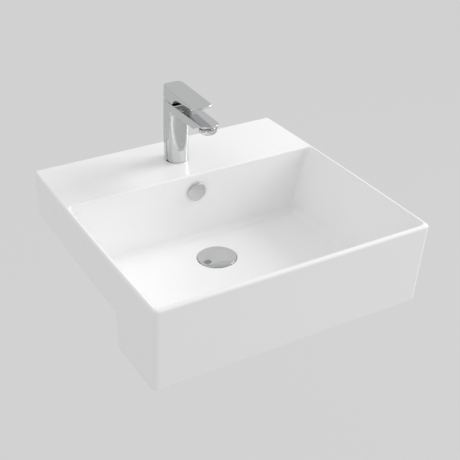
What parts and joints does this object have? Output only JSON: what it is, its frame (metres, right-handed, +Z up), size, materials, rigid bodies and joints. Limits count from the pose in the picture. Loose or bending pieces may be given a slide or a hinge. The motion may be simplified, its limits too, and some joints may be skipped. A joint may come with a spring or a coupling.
{
  "type": "semi-recessed washbasin with mixer tap",
  "caption": "Square semi-recessed ceramic washbasin with a single-lever mixer tap, an overflow cap and a press-to-open domed waste.",
  "frame": {"origin": "on the bench-top plane, in the middle of the ground foot under the basin's rear wall", "axes": "+X to the right seen from the user, +Y towards the wall, +Z up; the rim is at z = 0.081 m and the front skirt hangs below z = 0"},
  "size_m": [0.465, 0.47, 0.3664],
  "materials": {
    "glazed_ceramic": "glossy white glaze",
    "chrome": "polished chrome plate",
    "brass": "turned brass",
    "steel": "stainless steel",
    "black_rubber": "matt",
    "clear_rubber": "translucent silicone",
    "white_plastic": "moulded",
    "technical_ceramic": "lapped"
  },
  "bodies": {
    "basin_body": {"basin": "glazed_ceramic", "overflow_cap": "chrome", "overflow_sleeve": "chrome", "overflow_seal": "black_rubber", "waste_body": "chrome", "waste_flange_gasket": "clear_rubber", "waste_tapered_gasket": "black_rubber", "waste_slip_washer": "white_plastic", "waste_backnut": "brass", "click_cartridge": "brass", "click_spring": "steel", "tap_body": "chrome", "tap_base_seal": "black_rubber", "tap_stud": "steel", "horseshoe_rubber": "black_rubber", "horseshoe_plate": "steel", "stud_nut": "brass", "aerator_housing": "chrome", "aerator_core": "white_plastic", "aerator_seal": "black_rubber", "cartridge_housing": "white_plastic", "cartridge_seals": "black_rubber", "fixed_disc": "technical_ceramic", "retaining_nut": "brass", "cartridge_shroud": "chrome"},
    "rotor_body": {"cartridge_rotor": "white_plastic", "stem_pin": "steel"},
    "lever_body": {"tap_lever": "chrome", "lever_screw": "steel", "lever_index_plug": "chrome", "cartridge_stem": "steel"},
    "disc_body": {"moving_disc": "technical_ceramic", "disc_carrier": "white_plastic"},
    "plug_body": {"waste_plug": "chrome", "plug_seal": "black_rubber", "plug_spindle": "steel"}
  },
  "joints": [
    {"name": "lever_turn", "type": "hinge", "parent": "basin_body", "child": "rotor_body", "pos_m": [0, -0.064, 0.185], "axis": [0, 0, 1], "range_deg": [-45, 45]},
    {"name": "lever_lift", "type": "hinge", "parent": "rotor_body", "child": "lever_body", "pos_m": [0, -0.064, 0.185], "axis": [-1, 0, 0], "range_deg": [0, 20]},
    {"name": "disc_slide", "type": "slide", "parent": "rotor_body", "child": "disc_body", "axis": [0, -1, 0], "range_m": [0, 0.0046]},
    {"name": "plug_lift", "type": "slide", "parent": "basin_body", "child": "plug_body", "axis": [0, 0, 1], "range_m": [0, 0.008], "deforming": ["click_spring"]}
  ],
  "couplings": [
    {"joint": "disc_slide", "follows": "lever_lift", "m_per_rad": 0.01274}
  ]
}
